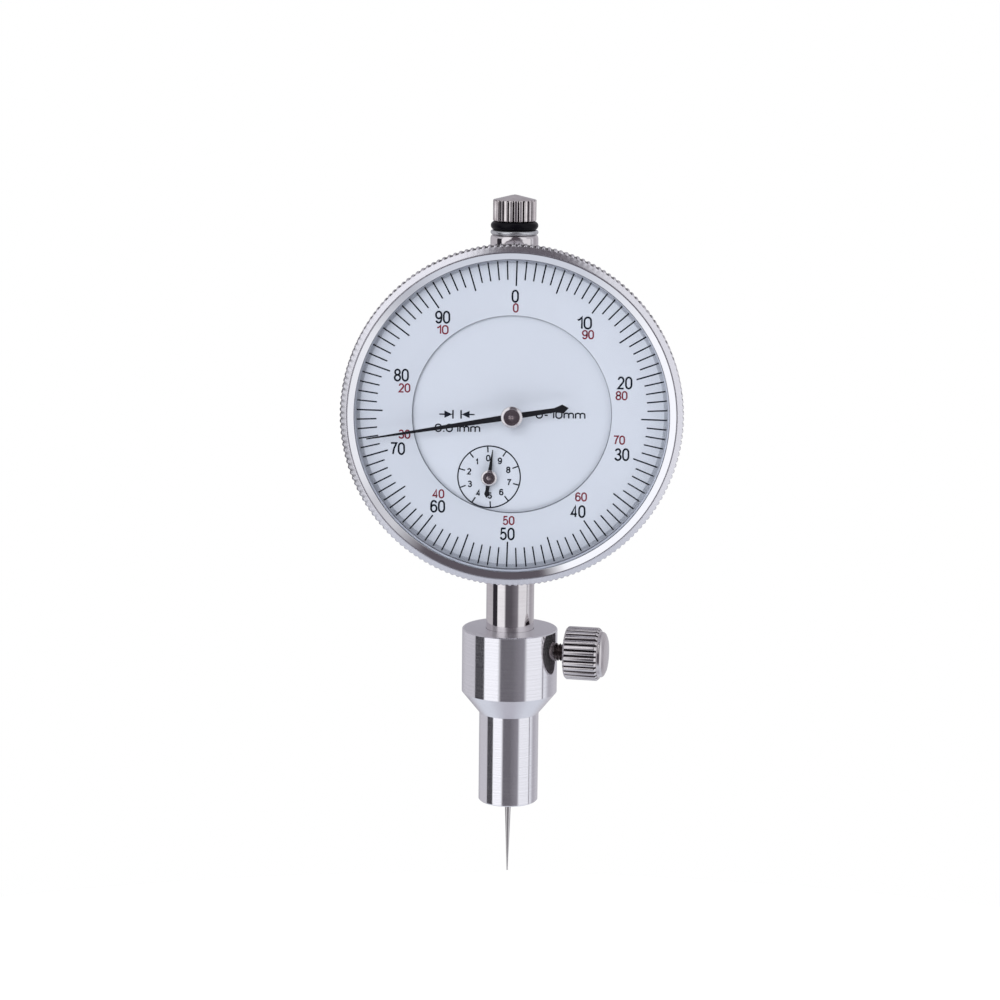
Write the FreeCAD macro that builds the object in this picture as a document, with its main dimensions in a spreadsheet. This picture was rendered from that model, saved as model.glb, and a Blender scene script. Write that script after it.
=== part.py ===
import FreeCAD, Part
import math
import os
import re

import Sketcher

# Dial indicator, in mm. X is to the right, Y goes back from the dial, Z is up along the plunger.
# Zero is on the plunger's axis, at the lower end face of the holder sleeve.

SIZES = {
    # dial axis, and the case with its front plate, wall and screw bosses
    "dial_z": 67.4,
    "case_r": 26.0,
    "case_bore_r": 24.2,
    "case_front": -8.8,
    "plate_back": -7.3,
    "case_back": 7.5,
    "boss_r": 1.9,
    "boss_x": 17.65,
    "boss_z": 13.79,
    "groove_front": -7.4,
    "groove_back": -6.9,
    "groove_floor_r": 25.6,
    # back cover with its lug
    "cover_back": 9.0,
    "lug_half_x": 2.5,
    "lug_half_z": 6.5,
    "lug_hole_y": 15.0,
    "lug_hole_r": 3.25,
    # bezel
    "ridge_y": -13.0,
    "ridge_r": 26.6,
    "knurl_front": -12.6,
    "knurl_back": -8.75,
    "knurl_r": 27.75,
    "knurl_root_r": 27.42,
    "knurl_teeth": 180,
    "rear_r": 27.2,
    "rear_y": -6.5,
    "bezel_bore_r": 26.05,
    "bezel_groove_r": 26.45,
    "shelf_r": 24.6,
    "shelf_front": -9.3,
    "shelf_back": -8.9,
    "window_r": 25.42,
    "window_y": -12.52,
    # domed window
    "dome_front": -14.9,
    "dome_ball_r": 140.0,
    "dome_thick": 0.9,
    # dial rings
    "ring_front": -9.85,
    "ring_r": 25.4,
    "ring_hole_r": 16.1,
    "spacer_front": -11.58,
    "spacer_top_r": 25.2,
    "spacer_foot_r": 24.9,
    "disc_front": -9.25,
    "disc_r": 17.0,
    # train of gears: 0.625 mm rack pitch, so one turn of the centre pinion is 1 mm of travel
    "tooth_pitch": 0.625,
    "rack_pinion_teeth": 16,
    "wheel_teeth": 100,
    "centre_teeth": 10,
    "rack_arbor_x": -3.6,
    "rack_arbor_z": -10.3327,
    "takeup_x": 10.5691,
    "takeup_z": -2.832,
    "rack_wheel_y": -6.4,
    "takeup_wheel_y": -5.3,
    "wheel_thick": 0.5,
    # pointers
    "pointer_y": -11.85,
    "pointer_thick": 0.12,
    "pointer_reach": 23.8,
    "pointer_tail": 9.3,
    "pointer_turn": 189.5,
    "small_pointer_y": -10.1,
    "small_pointer_reach": 4.62,
    "small_pointer_tail": 3.38,
    "small_pointer_turn": 82.9,
    # stem, neck and cap
    "stem_r": 4.0,
    "stem_low": 22.5,
    "stem_high": 44.2,
    "neck_r": 3.925,
    "neck_low": 93.0,
    "neck_high": 95.8,
    "washer_high": 96.55,
    "ring_major_r": 3.2,
    "ring_minor_r": 0.7,
    "cap_low": 98.0,
    "cap_high": 101.45,
    "cap_tip": 102.3,
    "cap_r": 3.55,
    "cap_root_r": 3.28,
    "cap_ribs": 25,
    # plunger and needle
    "plunger_r": 2.4,
    "plunger_low": 14.0,
    "plunger_bore_r": 2.45,
    "rack_low": 44.6,
    "guide_pin_z": 78.0,
    "guide_pin_r": 0.5,
    "needle_r": 0.565,
    "needle_tip": -12.65,
    "spring_x": 7.1,
    "spring_post_z": 48.0,
    # holder sleeve and its thumb screw
    "nose_r": 5.0,
    "nose_high": 15.3,
    "collar_low": 19.0,
    "collar_high": 29.8,
    "collar_r": 8.0,
    "sleeve_bore_r": 4.05,
    "sleeve_bore_low": 13.0,
    "nose_bore_r": 3.0,
    "thumb_z": 26.1,
    "thumb_turn": -11.0,
    "thumb_low": 9.7,
    "thumb_step": 15.4,
    "thumb_high": 16.65,
    "thumb_r": 4.45,
    "thumb_root_r": 4.27,
    "thumb_ribs": 28,
    "stud_r": 1.5,
}

doc = FreeCAD.newDocument("dial_indicator")
sheet = doc.addObject("Spreadsheet::Sheet", "sizes")
for row, (name, value) in enumerate(SIZES.items(), 1):
    sheet.set("A%d" % row, name)
    sheet.set("B%d" % row, str(value))
    sheet.setAlias("B%d" % row, name)
doc.recompute()

nodes = []

FACING_BACK = FreeCAD.Rotation(FreeCAD.Vector(0, 0, 1), FreeCAD.Vector(0, 1, 0))
FACING_RIGHT = FreeCAD.Rotation(FreeCAD.Vector(0, 0, 1), FreeCAD.Vector(1, 0, 0))
UPRIGHT = FreeCAD.Rotation()


def formula(text):
    """Text with every size's name pointed at the sheet."""
    return re.sub(r"[a-z_]+", lambda m: "sizes." + m.group() if m.group() in SIZES else m.group(), str(text))


def size(name):
    """One size, read from the sheet."""
    return float(sheet.get(name))


def place(thing, spot=(0, 0, 0), turn=UPRIGHT):
    """Set an object's rotation, and bind its position to formulas."""
    thing.Placement.Rotation = turn
    for axis, text in zip("xyz", spot):
        thing.setExpression("Placement.Base." + axis, formula(text))
    return thing


def keep(thing):
    """Mark an object as a piece that goes out under its own label."""
    nodes.append(thing)
    return thing


def plane(body, role):
    """One of a body's own origin planes."""
    return [feature for feature in body.Origin.OriginFeatures if feature.Role == role][0]


def outline(body, role, corners):
    """A closed sketch on one of the body's planes, each corner held by two formulas."""
    sketch = body.newObject("Sketcher::SketchObject", body.Label + "_outline")
    sketch.AttachmentSupport = [(plane(body, role), "")]
    sketch.MapMode = "FlatFace"
    count = len(corners)
    spots = []
    for step in range(count):
        angle = 2 * math.pi * step / count
        spots.append(FreeCAD.Vector(30 + 10 * math.cos(angle), 10 * math.sin(angle), 0))
    lines = [Part.LineSegment(spots[step], spots[(step + 1) % count]) for step in range(count)]
    sketch.addGeometry(lines, False)
    for step in range(count):
        sketch.addConstraint(Sketcher.Constraint("Coincident", step, 2, (step + 1) % count, 1))
    for step, corner in enumerate(corners):
        for kind, text in zip(("DistanceX", "DistanceY"), corner):
            number = sketch.addConstraint(Sketcher.Constraint(kind, -1, 1, step, 1, 5.0))
            sketch.renameConstraint(number, "%s%d" % (kind, step))
            sketch.setExpression("Constraints.%s%d" % (kind, step), formula(text))
    return sketch


def turned(label, corners, role="XZ_Plane"):
    """A lathe-turned body. Corners are (radius, place along the axis): Z on XZ_Plane, Y on XY_Plane."""
    body = doc.addObject("PartDesign::Body", label)
    sketch = outline(body, role, corners)
    turn = body.newObject("PartDesign::Revolution", label + "_turning")
    turn.Profile = sketch
    turn.ReferenceAxis = (sketch, ["V_Axis"])
    turn.Angle = 360
    body.Tip = turn
    return body


def plate(label, corners, front, thick):
    """A flat body with the given outline in X and Z, from front and thick deep along Y."""
    body = doc.addObject("PartDesign::Body", label)
    sketch = outline(body, "XZ_Plane", corners)
    pad = body.newObject("PartDesign::Pad", label + "_pad")
    pad.Profile = sketch
    pad.setExpression("Length", formula(thick))
    pad.Reversed = True
    body.Tip = pad
    return place(body, (0, front, 0))


def rod(label, radius, length, spot, turn=FACING_BACK):
    """A plain cylinder that starts at spot and runs along turn's direction."""
    cylinder = doc.addObject("Part::Cylinder", label)
    cylinder.setExpression("Radius", formula(radius))
    cylinder.setExpression("Height", formula(length))
    return place(cylinder, spot, turn)


def box(label, low, sides):
    """A block from its low corner, with its three side lengths."""
    block = doc.addObject("Part::Box", label)
    for name, text in zip(("Length", "Width", "Height"), sides):
        block.setExpression(name, formula(text))
    return place(block, low)


def joined(label, parts):
    """Several objects as one solid."""
    union = doc.addObject("Part::MultiFuse", label)
    union.Shapes = parts
    union.Refine = False
    return union


def together(label, parts):
    """Several separate solids as one group."""
    group = doc.addObject("Part::Compound", label)
    group.Links = parts
    return group


def cut(label, base, tools):
    """Base with the tools taken away."""
    result = doc.addObject("Part::Cut", label)
    result.Base = base
    result.Tool = tools[0] if len(tools) == 1 else joined(label + "_tools", tools)
    result.Refine = False
    return result


def common(label, first, second):
    """Only what both objects fill."""
    result = doc.addObject("Part::Common", label)
    result.Base = first
    result.Tool = second
    result.Refine = False
    return result


def shaped(label, shape):
    """A shape worked out from sizes in the sheet."""
    thing = doc.addObject("Part::Feature", label)
    thing.Shape = shape
    return thing


def on_dial_axis(thing, x=0, z=0):
    """Put an object that was made round the Y axis on the dial's axis, or beside it."""
    return place(thing, (x, 0, "dial_z + (%s)" % z))


def ribbed_bar(teeth, root_r, tip_r, root_share, tip_share, start, length, along, first=0.0):
    """A bar with straight teeth. Shares are a tooth's width at root and tip over the pitch."""
    points = []
    step = 2 * math.pi / teeth
    for tooth in range(int(teeth)):
        middle = math.radians(first) + tooth * step
        for radius, share in ((root_r, -root_share), (tip_r, -tip_share), (tip_r, tip_share), (root_r, root_share)):
            angle = middle + share * step / 2
            across = radius * math.cos(angle)
            up = radius * math.sin(angle)
            points.append(FreeCAD.Vector(across, start, up) if along == "Y" else FreeCAD.Vector(across, up, start))
    if tip_share == 0:
        points = sharp(teeth, root_r, tip_r, start, along)
    face = Part.Face(Part.makePolygon(points + points[:1]))
    way = FreeCAD.Vector(0, length, 0) if along == "Y" else FreeCAD.Vector(0, 0, length)
    return face.extrude(way)


def sharp(teeth, root_r, tip_r, start, along):
    """Corner points of a bar with pointed ribs."""
    points = []
    for corner in range(int(2 * teeth)):
        angle = math.pi * corner / teeth
        radius = tip_r if corner % 2 else root_r
        across = radius * math.cos(angle)
        up = radius * math.sin(angle)
        points.append(FreeCAD.Vector(across, start, up) if along == "Y" else FreeCAD.Vector(across, up, start))
    return points


# ---- gear teeth, thinned so that no two of them ever overlap ----

MODULE = size("tooth_pitch") / math.pi
TOOTH_OUT = 0.72 * MODULE
TOOTH_IN = 1.1 * MODULE
ROOT_SHARE = 0.46
TIP_SHARE = 0.2


def gear(teeth, start, length, first):
    """A spur gear round the Y axis with one tooth at the angle first, from +X towards +Z."""
    pitch_r = teeth * MODULE / 2
    return ribbed_bar(
        teeth, pitch_r - TOOTH_IN, pitch_r + TOOTH_OUT, ROOT_SHARE, TIP_SHARE, start, length, "Y", first
    )


RACK_ARBOR = (size("rack_arbor_x"), size("rack_arbor_z"))
TAKEUP = (size("takeup_x"), size("takeup_z"))
TO_RACK_ARBOR = math.degrees(math.atan2(RACK_ARBOR[1], RACK_ARBOR[0]))
TO_TAKEUP = math.degrees(math.atan2(TAKEUP[1], TAKEUP[0]))
CENTRE_STEP = 360 / size("centre_teeth")
CENTRE_FIRST = TO_RACK_ARBOR + CENTRE_STEP / 2
NEAREST_GAP = (TO_RACK_ARBOR - TO_TAKEUP + CENTRE_STEP / 2) % CENTRE_STEP - CENTRE_STEP / 2
TAKEUP_FIRST = TO_TAKEUP + 180 - NEAREST_GAP * size("centre_teeth") / size("wheel_teeth")

# ---- case ----

case_cup = turned(
    "case_cup",
    [
        ("0", "case_front"),
        ("case_r", "case_front"),
        ("case_r", "groove_front"),
        ("groove_floor_r", "groove_front"),
        ("groove_floor_r", "groove_back"),
        ("case_r", "groove_back"),
        ("case_r", "case_back"),
        ("case_bore_r", "case_back"),
        ("case_bore_r", "plate_back"),
        ("0", "plate_back"),
    ],
    "XY_Plane",
)
BOSSES = (("boss_x", "boss_z"), ("-boss_x", "boss_z"), ("-boss_x", "-boss_z"), ("boss_x", "-boss_z"))
PILLARS = (("-9.5", "4.6"), ("10.5", "-18.4"), ("20.5", "5.6"))
COCK_PILLARS = (("-14.6", "-5.5"), ("-9.5", "-20.3"))
GUIDE_SCREWS = (("6.6", "12.1"), ("6.6", "18.1"))
FRONT_BUSHES = ((1.2, 0.52, RACK_ARBOR), (1.2, 0.62, (0, 0)), (0.9, 0.37, TAKEUP))

case_bosses = [
    rod("case_boss_%d" % number, "boss_r", "case_back - plate_back + 0.5", (x, "plate_back - 0.5", z))
    for number, (x, z) in enumerate(BOSSES)
]
case_holes = [
    rod("case_screw_hole_%d" % number, 0.8, 6, (x, "case_back - 5", z)) for number, (x, z) in enumerate(BOSSES)
]
case_holes += [
    rod("case_bush_hole_%d" % number, radius, 2.5, (x, "case_front - 0.5", z))
    for number, (radius, bore, (x, z)) in enumerate(FRONT_BUSHES)
]
case_holes += [
    rod("case_guide_hole_%d" % number, 0.5, 1.2, (x, "plate_back - 1", z))
    for number, (x, z) in enumerate(GUIDE_SCREWS)
]
case_holes.append(rod("case_stem_hole", "stem_r", 6, (0, 0, -28), UPRIGHT))
case_holes.append(rod("case_neck_hole", 3.2, 6, (0, 0, 22), UPRIGHT))
case_holes.append(rod("case_neck_seat", 4.3, 3, (0, 0, "neck_low - dial_z"), UPRIGHT))
keep(on_dial_axis(cut("case", joined("case_body", [case_cup] + case_bosses), case_holes)))

cover_disc = rod("cover_disc", "case_r", "cover_back - case_back", (0, "case_back", 0))
lug_block = box(
    "lug_block",
    ("-lug_half_x", "cover_back - 0.5", "-lug_half_z"),
    ("2 * lug_half_x", "lug_hole_y - cover_back + 0.5", "2 * lug_half_z"),
)
lug_round = rod("lug_round", "lug_half_z", "2 * lug_half_x", ("-lug_half_x", "lug_hole_y", 0), FACING_RIGHT)
lug_hole = rod("lug_hole", "lug_hole_r", 8, (-4, "lug_hole_y", 0), FACING_RIGHT)
cover_holes = [
    rod("cover_screw_hole_%d" % number, 0.9, 3, (x, "case_back - 0.5", z)) for number, (x, z) in enumerate(BOSSES)
]
for number, (x, z) in enumerate(BOSSES):
    sink = doc.addObject("Part::Cone", "cover_sink_%d" % number)
    sink.Radius1 = 0.9
    sink.Radius2 = 1.9
    sink.Height = 1.0
    cover_holes.append(place(sink, (x, "cover_back - 1", z), FACING_BACK))
back_cover = cut("back_cover", joined("cover_body", [cover_disc, lug_block, lug_round]), [lug_hole] + cover_holes)
keep(on_dial_axis(back_cover))

cover_screws = []
for number, (x, z) in enumerate(BOSSES):
    screw = turned(
        "cover_screw_%d" % number,
        [("0", "-4.6"), ("0.8", "-4.6"), ("0.8", "0.55"), ("1.75", "1.4"), ("0", "1.4")],
    )
    slot = box("cover_screw_slot_%d" % number, (-2, -0.2, 1.0), (4, 0.4, 1))
    slotted = cut("cover_screw_cut_%d" % number, screw, [slot])
    cover_screws.append(place(slotted, (x, "case_back", z), FACING_BACK))
keep(on_dial_axis(together("back_cover_screws", cover_screws)))

# ---- bezel, window and dial ----

bezel_blank = turned(
    "bezel_blank",
    [
        ("ridge_r", "ridge_y"),
        ("knurl_r", "knurl_front"),
        ("knurl_r", "knurl_back"),
        ("rear_r", "knurl_back + 0.25"),
        ("rear_r", "rear_y - 0.3"),
        ("rear_r - 0.3", "rear_y"),
        ("bezel_bore_r", "rear_y"),
        ("bezel_bore_r", "groove_back"),
        ("bezel_groove_r", "groove_back"),
        ("bezel_groove_r", "groove_front"),
        ("bezel_bore_r", "groove_front"),
        ("bezel_bore_r", "shelf_back"),
        ("shelf_r", "shelf_back"),
        ("shelf_r", "shelf_front"),
        ("window_r + 0.05", "shelf_front"),
        ("window_r + 0.05", "window_y"),
    ],
    "XY_Plane",
)
bezel_knurl = shaped(
    "bezel_knurl",
    ribbed_bar(size("knurl_teeth"), size("knurl_root_r"), size("knurl_r"), 1, 0, -14, 9, "Y"),
)
keep(on_dial_axis(common("bezel", bezel_blank, bezel_knurl)))

window_disc = rod("window_disc", "window_r", 4, (0, "dome_front - 0.1", 0))
dome_outside = doc.addObject("Part::Sphere", "dome_outside")
dome_outside.setExpression("Radius", formula("dome_ball_r"))
place(dome_outside, (0, "dome_front + dome_ball_r", 0))
dome_inside = doc.addObject("Part::Sphere", "dome_inside")
dome_inside.setExpression("Radius", formula("dome_ball_r - dome_thick"))
place(dome_inside, (0, "dome_front + dome_ball_r", 0))
keep(on_dial_axis(cut("crystal", common("crystal_blank", window_disc, dome_outside), [dome_inside])))

keep(
    on_dial_axis(
        turned(
            "dial_spacer_ring",
            [
                ("window_r + 0.03", "spacer_front"),
                ("window_r + 0.03", "ring_front"),
                ("spacer_foot_r", "ring_front"),
                ("spacer_top_r", "spacer_front"),
            ],
            "XY_Plane",
        )
    )
)
keep(
    on_dial_axis(
        turned(
            "outer_dial_ring",
            [
                ("ring_hole_r", "ring_front"),
                ("ring_r", "ring_front"),
                ("ring_r", "shelf_front"),
                ("ring_hole_r", "shelf_front"),
            ],
            "XY_Plane",
        )
    )
)

disc_blank = rod("disc_blank", "disc_r", "case_front - disc_front", (0, "disc_front", 0))
disc_holes = [
    rod("disc_centre_hole", 1.0, 2, (0, "disc_front - 0.5", 0)),
    rod("disc_side_hole", 0.9, 2, ("rack_arbor_x", "disc_front - 0.5", "rack_arbor_z")),
]
keep(on_dial_axis(cut("inner_dial", disc_blank, disc_holes)))

snap_blank = turned(
    "snap_ring_blank",
    [
        ("groove_floor_r", "groove_front + 0.05"),
        ("bezel_groove_r - 0.1", "groove_front + 0.05"),
        ("bezel_groove_r - 0.1", "groove_back - 0.05"),
        ("groove_floor_r", "groove_back - 0.05"),
    ],
    "XY_Plane",
)
snap_gap = box("snap_ring_gap", (-3, -9, -28), (6, 4, 6))
keep(on_dial_axis(cut("bezel_snap_ring", snap_blank, [snap_gap])))

# ---- stem, neck, washer and rubber ring ----

keep(
    turned(
        "stem",
        [
            ("plunger_bore_r + 0.5", "stem_low"),
            ("stem_r - 0.3", "stem_low"),
            ("stem_r", "stem_low + 0.3"),
            ("stem_r", "stem_high"),
            ("plunger_bore_r + 0.5", "stem_high"),
        ],
    )
)
for label, low, high in (("stem_bush_lower", "stem_low", "stem_low + 8"), ("stem_bush_upper", "37", "stem_high")):
    corners = [
        ("plunger_bore_r", low),
        ("plunger_bore_r + 0.5", low),
        ("plunger_bore_r + 0.5", high),
        ("plunger_bore_r", high),
    ]
    keep(turned(label, corners))
keep(
    turned(
        "neck_bush",
        [
            ("plunger_bore_r", "neck_low - 2.2"),
            ("3.2", "neck_low - 2.2"),
            ("3.2", "neck_low"),
            ("neck_r", "neck_low"),
            ("neck_r", "neck_high"),
            ("plunger_bore_r", "neck_high"),
        ],
    )
)
keep(
    turned(
        "neck_washer",
        [
            ("plunger_bore_r + 0.05", "neck_high"),
            ("neck_r", "neck_high"),
            ("neck_r", "washer_high"),
            ("plunger_bore_r + 0.05", "washer_high"),
        ],
    )
)
rubber_ring = doc.addObject("Part::Torus", "bumper_ring")
rubber_ring.setExpression("Radius1", formula("ring_major_r"))
rubber_ring.setExpression("Radius2", formula("ring_minor_r"))
keep(place(rubber_ring, (0, 0, "washer_high + ring_minor_r")))

# ---- plunger, its cap, and the needle ----

plunger_blank = turned(
    "plunger_blank",
    [
        ("0", "plunger_low + 5.5"),
        ("1.25", "plunger_low + 5"),
        ("1.25", "plunger_low"),
        ("plunger_r - 0.2", "plunger_low"),
        ("plunger_r", "plunger_low + 0.2"),
        ("plunger_r", "cap_low"),
        ("1.5", "cap_low"),
        ("1.5", "cap_low + 2.3"),
        ("0", "cap_low + 2.3"),
    ],
)


def rack_notches():
    """The space between the rack's teeth, as one block beside the plunger."""
    pitch = size("tooth_pitch")
    line = size("rack_arbor_x") + size("rack_pinion_teeth") * MODULE / 2
    tip = line - TOOTH_OUT
    root = line + TOOTH_IN
    gap = size("dial_z") + size("rack_arbor_z")
    first = gap - pitch * round((gap - size("rack_low")) / pitch)
    points = [FreeCAD.Vector(-3.2, -3, first - pitch / 2), FreeCAD.Vector(tip, -3, first - pitch / 2)]
    height = first
    while height < gap + 3:
        for place_x, shift in (
            (tip, -(1 - TIP_SHARE) / 2),
            (root, -(1 - ROOT_SHARE) / 2),
            (root, (1 - ROOT_SHARE) / 2),
            (tip, (1 - TIP_SHARE) / 2),
        ):
            points.append(FreeCAD.Vector(place_x, -3, height + shift * pitch))
        height += pitch
    points.append(FreeCAD.Vector(tip, -3, height - pitch / 2))
    points.append(FreeCAD.Vector(-3.2, -3, height - pitch / 2))
    return Part.Face(Part.makePolygon(points + points[:1])).extrude(FreeCAD.Vector(0, 6, 0))


rack_cutter = shaped("rack_cutter", rack_notches())
pin_hole = rod("plunger_pin_hole", "guide_pin_r", 6, (-3, 0, "guide_pin_z"), FACING_RIGHT)
keep(cut("plunger", plunger_blank, [rack_cutter, pin_hole]))
keep(rod("guide_pin", "guide_pin_r", "10.4", (-2.2, 0, "guide_pin_z"), FACING_RIGHT))

cap_blank = turned(
    "cap_blank",
    [
        ("1.5", "cap_low"),
        ("cap_r - 0.15", "cap_low"),
        ("cap_r", "cap_low + 0.15"),
        ("cap_r", "cap_high - 0.15"),
        ("cap_r - 0.2", "cap_high"),
        ("0", "cap_tip"),
        ("0", "cap_low + 2.3"),
        ("1.5", "cap_low + 2.3"),
    ],
)
cap_knurl = shaped(
    "cap_knurl", ribbed_bar(size("cap_ribs"), size("cap_root_r"), size("cap_r"), 1, 0, 97, 7, "Z")
)
keep(common("lifting_cap", cap_blank, cap_knurl))

keep(
    turned(
        "needle_holder",
        [
            ("needle_r", "plunger_low - 3.5"),
            ("1.6", "plunger_low - 3.5"),
            ("2.0", "plunger_low - 3.1"),
            ("2.0", "plunger_low"),
            ("1.25", "plunger_low"),
            ("1.25", "plunger_low + 4.5"),
            ("needle_r", "plunger_low + 4.5"),
        ],
    )
)
keep(
    turned(
        "contact_needle",
        [
            ("0", "needle_tip"),
            ("0.09", "needle_tip + 0.06"),
            ("needle_r", "0.4"),
            ("needle_r", "plunger_low + 4"),
            ("0", "plunger_low + 4"),
        ],
    )
)

# ---- guide plate, return spring and its post ----

guide_web = box("guide_web", (3.8, "plate_back", 76), (1, 9.1, 14.3))
guide_foot = box("guide_foot", (4.7, "plate_back", 77), (3.5, 1, 11))
guide_slot = box("guide_slot", (3, -0.55, 77.2), (3, 1.1, 12.2))
guide_holes = [
    rod("guide_hole_%d" % number, 0.5, 3, (x, "plate_back - 1", "dial_z + " + z))
    for number, (x, z) in enumerate(GUIDE_SCREWS)
]
keep(cut("guide_plate", joined("guide_body", [guide_web, guide_foot]), [guide_slot] + guide_holes))


def screws(label, spots, front, shank, head_r, head):
    """Cheese-head screws that point to the dial: shank end at front, head after the shank."""
    group = []
    for number, (x, z) in enumerate(spots):
        stem = rod("%s_shank_%d" % (label, number), 0.5, shank + head, (x, front, z))
        top = rod("%s_head_%d" % (label, number), head_r, head, (x, "%s + %s" % (front, shank), z))
        groove = box(
            "%s_slot_%d" % (label, number),
            ("%s - 2" % x, "%s + %s" % (front, shank + head / 2), "%s - 0.15" % z),
            (4, 2, 0.3),
        )
        whole = joined("%s_blank_%d" % (label, number), [stem, top])
        group.append(cut("%s_%d" % (label, number), whole, [groove]))
    return keep(on_dial_axis(together(label, group)))


screws("guide_plate_screws", GUIDE_SCREWS, "plate_back - 1", 2.0, 0.95, 0.6)
keep(rod("spring_post", 0.8, 8.1, ("spring_x", "plate_back", "spring_post_z")))


def pull_spring():
    """An extension spring: coils, and a loop at each end."""
    wire_r = 0.2
    coil_r = 0.9
    turns = 22
    pin_z = size("guide_pin_z")
    post_z = size("spring_post_z")
    low = post_z + 2.2
    high = pin_z - 1.7
    spot = FreeCAD.Vector(coil_r, 0, 0)
    ring = Part.Wire(Part.makeCircle(wire_r, spot, FreeCAD.Vector(0, 1, 0.2)))
    helix = Part.Wire(Part.makeHelix((high - low) / turns, high - low, coil_r))
    spring = helix.makePipeShell([ring], True, True)
    spring.translate(FreeCAD.Vector(size("spring_x") - coil_r, 0, low))
    up = FreeCAD.Vector(0, 0, 1)
    for loop_r, loop_z, way, start, end in (
        (0.75, pin_z, FreeCAD.Vector(1, 0, 0), high - 0.3, pin_z - 0.75),
        (1.05, post_z, FreeCAD.Vector(0, 1, 0), post_z + 1.05, low + 0.3),
    ):
        neck = Part.makeCylinder(0.85 * wire_r, end - start, FreeCAD.Vector(size("spring_x"), 0, start), up)
        loop = Part.makeTorus(loop_r, wire_r, FreeCAD.Vector(size("spring_x"), 0, loop_z), way)
        spring = spring.fuse(neck.fuse(loop))
    return spring


keep(shaped("return_spring", pull_spring()))

# ---- rack pinion, its wheel and the small pointer ----

rack_core = turned(
    "rack_arbor_core",
    [
        ("0", "-10.4"),
        ("0.5", "-10.4"),
        ("0.5", "-7.0"),
        ("0.8", "-7.0"),
        ("0.8", "-5.2"),
        ("0.7", "-5.2"),
        ("0.7", "2.4"),
        ("0.4", "2.4"),
        ("0.4", "3.5"),
        ("0", "3.5"),
    ],
    "XY_Plane",
)
rack_teeth = shaped("rack_pinion_gear", gear(size("rack_pinion_teeth"), -1.1, 2.2, 0))
rack_pinion = joined("rack_pinion", [rack_core, rack_teeth])
keep(on_dial_axis(rack_pinion, "rack_arbor_x", "rack_arbor_z"))


def wheel(label, front, bore, first, x, z):
    """A hundred-tooth wheel with five round windows."""
    disc = shaped(label + "_disc", gear(size("wheel_teeth"), size(front), size("wheel_thick"), first))
    holes = [rod(label + "_bore", bore, 2, (0, size(front) - 0.5, 0))]
    for number in range(5):
        angle = math.radians(72 * number + 20)
        spot = (5.6 * math.cos(angle), size(front) - 0.5, 5.6 * math.sin(angle))
        holes.append(rod("%s_window_%d" % (label, number), 2.2, 2, spot))
    return keep(on_dial_axis(cut(label, disc, holes), x, z))


wheel("rack_wheel", "rack_wheel_y", 0.8, TO_RACK_ARBOR + 180, "rack_arbor_x", "rack_arbor_z")
wheel("take_up_wheel", "takeup_wheel_y", 0.7, TAKEUP_FIRST, "takeup_x", "takeup_z")


def pointer(label, front, reach, tail, ring_r, bore, near, tip, broad, neck, wide, turn, x, z):
    """A flat pointer: ring, tapering arm, and a tail that ends in a small diamond.
    neck and wide say how far along the tail the diamond starts and where it is widest."""
    arm = plate(
        label + "_arm",
        [
            ("0", near),
            (reach, tip),
            (reach, "-%s" % tip),
            ("0", "-%s" % near),
            ("-(%s) * %s" % (tail, neck), "-%s * 0.7" % near),
            ("-(%s) * %s" % (tail, wide), "-%s" % broad),
            ("-(%s)" % tail, "0"),
            ("-(%s) * %s" % (tail, wide), broad),
            ("-(%s) * %s" % (tail, neck), "%s * 0.7" % near),
        ],
        front,
        "pointer_thick",
    )
    ring = rod(label + "_ring", ring_r, "pointer_thick", (0, front, 0))
    hole = rod(label + "_hole", bore, 2, (0, "%s - 1" % front, 0))
    flat = cut(label, joined(label + "_blank", [arm, ring]), [hole])
    on_dial_axis(flat, x, z)
    flat.Placement.Rotation = FreeCAD.Rotation(FreeCAD.Vector(0, 1, 0), -size(turn))
    return keep(flat)


pointer(
    "main_pointer", "pointer_y", "pointer_reach", "pointer_tail", 1.5, 0.9, "0.5", "0.1", "0.72",
    "0.75", "0.9", "pointer_turn", 0, 0,
)
pointer(
    "small_pointer", "small_pointer_y", "small_pointer_reach", "small_pointer_tail", 1.0, 0.7, "0.4", "0.06",
    "0.43", "0.62", "0.82", "small_pointer_turn", "rack_arbor_x", "rack_arbor_z",
)

centre_core = turned(
    "centre_arbor_core",
    [
        ("0", "-12.35"),
        ("0.6", "-12.35"),
        ("0.6", "-4.5"),
        ("0.35", "-4.5"),
        ("0.35", "-2.85"),
        ("0", "-2.85"),
    ],
    "XY_Plane",
)
centre_teeth = shaped("centre_pinion_gear", gear(size("centre_teeth"), -6.6, 2.0, CENTRE_FIRST))
keep(on_dial_axis(joined("centre_pinion", [centre_core, centre_teeth])))

keep(
    on_dial_axis(
        turned(
            "main_pointer_hub",
            [
                ("0", "pointer_y - 0.9"),
                ("1.4", "pointer_y - 0.9"),
                ("1.75", "pointer_y - 0.6"),
                ("1.75", "pointer_y"),
                ("0.9", "pointer_y"),
                ("0.9", "pointer_y + 1.0"),
                ("0.6", "pointer_y + 1.0"),
                ("0.6", "-12.35"),
                ("0", "-12.35"),
            ],
            "XY_Plane",
        )
    )
)
keep(
    on_dial_axis(
        turned(
            "small_pointer_hub",
            [
                ("0", "small_pointer_y - 0.55"),
                ("0.9", "small_pointer_y - 0.55"),
                ("1.2", "small_pointer_y - 0.3"),
                ("1.2", "small_pointer_y"),
                ("0.7", "small_pointer_y"),
                ("0.7", "small_pointer_y + 0.7"),
                ("0.5", "small_pointer_y + 0.7"),
                ("0.5", "-10.4"),
                ("0", "-10.4"),
            ],
            "XY_Plane",
        ),
        "rack_arbor_x",
        "rack_arbor_z",
    )
)

# ---- take-up arbor with its hairspring ----

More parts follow.
